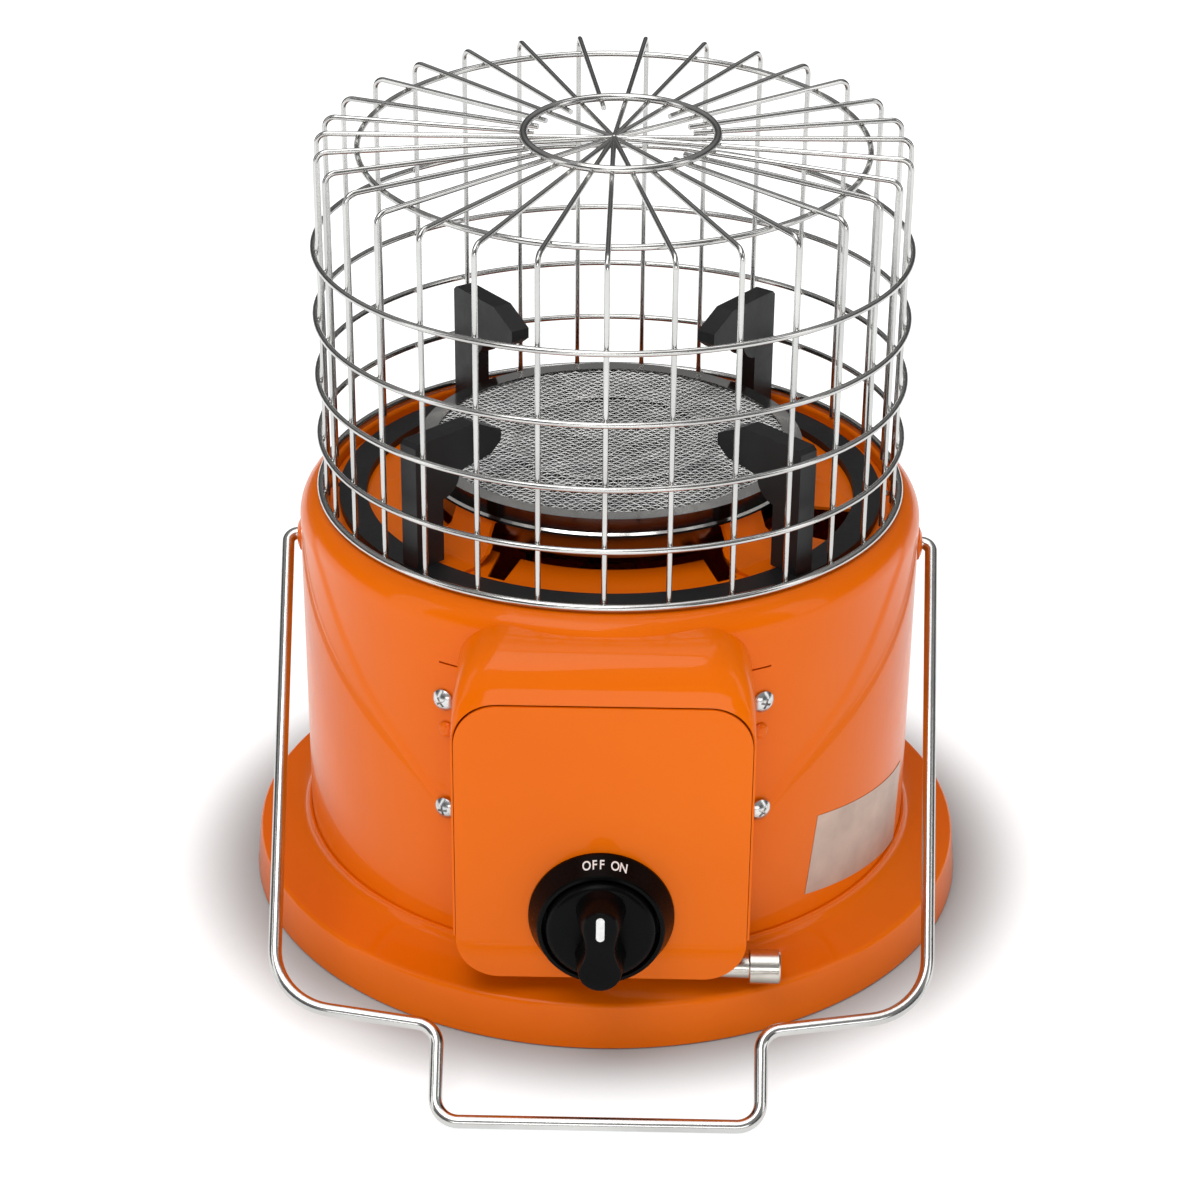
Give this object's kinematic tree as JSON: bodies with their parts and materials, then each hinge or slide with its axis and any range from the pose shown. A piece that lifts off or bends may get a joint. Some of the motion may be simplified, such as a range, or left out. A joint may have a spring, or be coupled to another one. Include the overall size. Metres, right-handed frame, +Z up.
{
  "type": "portable gas heater",
  "caption": "Portable propane heater with an orange steel drum, round mesh burner, pan grate arms, wire guard, black gas knob and folding wire bail.",
  "frame": {"origin": "centre of the base on the floor", "axes": "+Z up, the control knob faces -Y, the gas inlet points to +X"},
  "size_m": [0.283, 0.3328, 0.3082],
  "materials": {
    "orange_enamel": "gloss enamel",
    "chrome_wire": "bright",
    "black_enamel": "satin enamel",
    "black_plastic": "satin",
    "white_plastic": "matte",
    "stainless": "brushed",
    "zinc_steel": "zinc plated",
    "nickel": "nickel plated",
    "brass": "machined",
    "white_ceramic": "glazed",
    "lead_rubber": "matte",
    "silver_foil": "satin"
  },
  "bodies": {
    "heater": {"drum_shell": "orange_enamel", "base_skirt": "orange_enamel", "bottom_plate": "orange_enamel", "bottom_screws": "zinc_steel", "top_deck": "orange_enamel", "deck_screws": "zinc_steel", "grate_ring": "black_enamel", "grate_arms": "black_enamel", "burner_bowl": "stainless", "burner_baffle": "stainless", "burner_spacer_ring": "stainless", "burner_mesh": "stainless", "burner_rim": "stainless", "burner_brackets": "orange_enamel", "mixing_tube": "stainless", "control_housing": "orange_enamel", "control_plate": "orange_enamel", "knob_bezel": "black_plastic", "valve_body": "brass", "valve_bonnet": "zinc_steel", "valve_screws": "zinc_steel", "piezo_igniter": "black_plastic", "injector_nozzle": "brass", "inlet_pipe": "nickel", "inlet_coupling": "nickel", "inlet_nut": "brass", "electrode_insulator": "white_ceramic", "ignition_electrode": "stainless", "electrode_bracket": "orange_enamel", "ignition_lead": "lead_rubber", "bail_eyelets": "orange_enamel", "housing_screws": "zinc_steel", "housing_rivets": "orange_enamel", "foil_patch": "silver_foil"},
    "gas_plug": {"valve_plug": "brass", "spindle_spring": "zinc_steel"},
    "knob": {"control_knob": "black_plastic", "knob_pointer": "white_plastic", "valve_spindle": "brass", "spindle_clip": "zinc_steel"},
    "guard": {"guard_long_wires": "chrome_wire", "guard_short_wires": "chrome_wire", "guard_hub": "chrome_wire", "guard_side_rings": "chrome_wire", "guard_base_ring": "chrome_wire", "guard_top_ring": "chrome_wire", "guard_inner_ring": "chrome_wire"},
    "bail": {"bail_handle": "chrome_wire", "bail_retainers": "zinc_steel"}
  },
  "joints": [
    {"name": "bail_swing", "type": "hinge", "parent": "heater", "child": "bail", "pos_m": [0, 0, 0.1395], "axis": [-1, 0, 0], "range_deg": [0, 251.8]},
    {"name": "knob_turn", "type": "hinge", "parent": "heater", "child": "gas_plug", "pos_m": [0, -0.1134, 0.0543], "axis": [0, 1, 0], "range_deg": [0, 90]},
    {"name": "knob_push", "type": "slide", "parent": "gas_plug", "child": "knob", "axis": [0, 1, 0], "range_m": [0, 0.0027], "stiffness_N_per_m": 400, "deforming": ["spindle_spring"]},
    {"name": "guard_lift", "type": "slide", "parent": "heater", "child": "guard", "axis": [0, 0, 1], "range_m": [0, 0.06]}
  ]
}
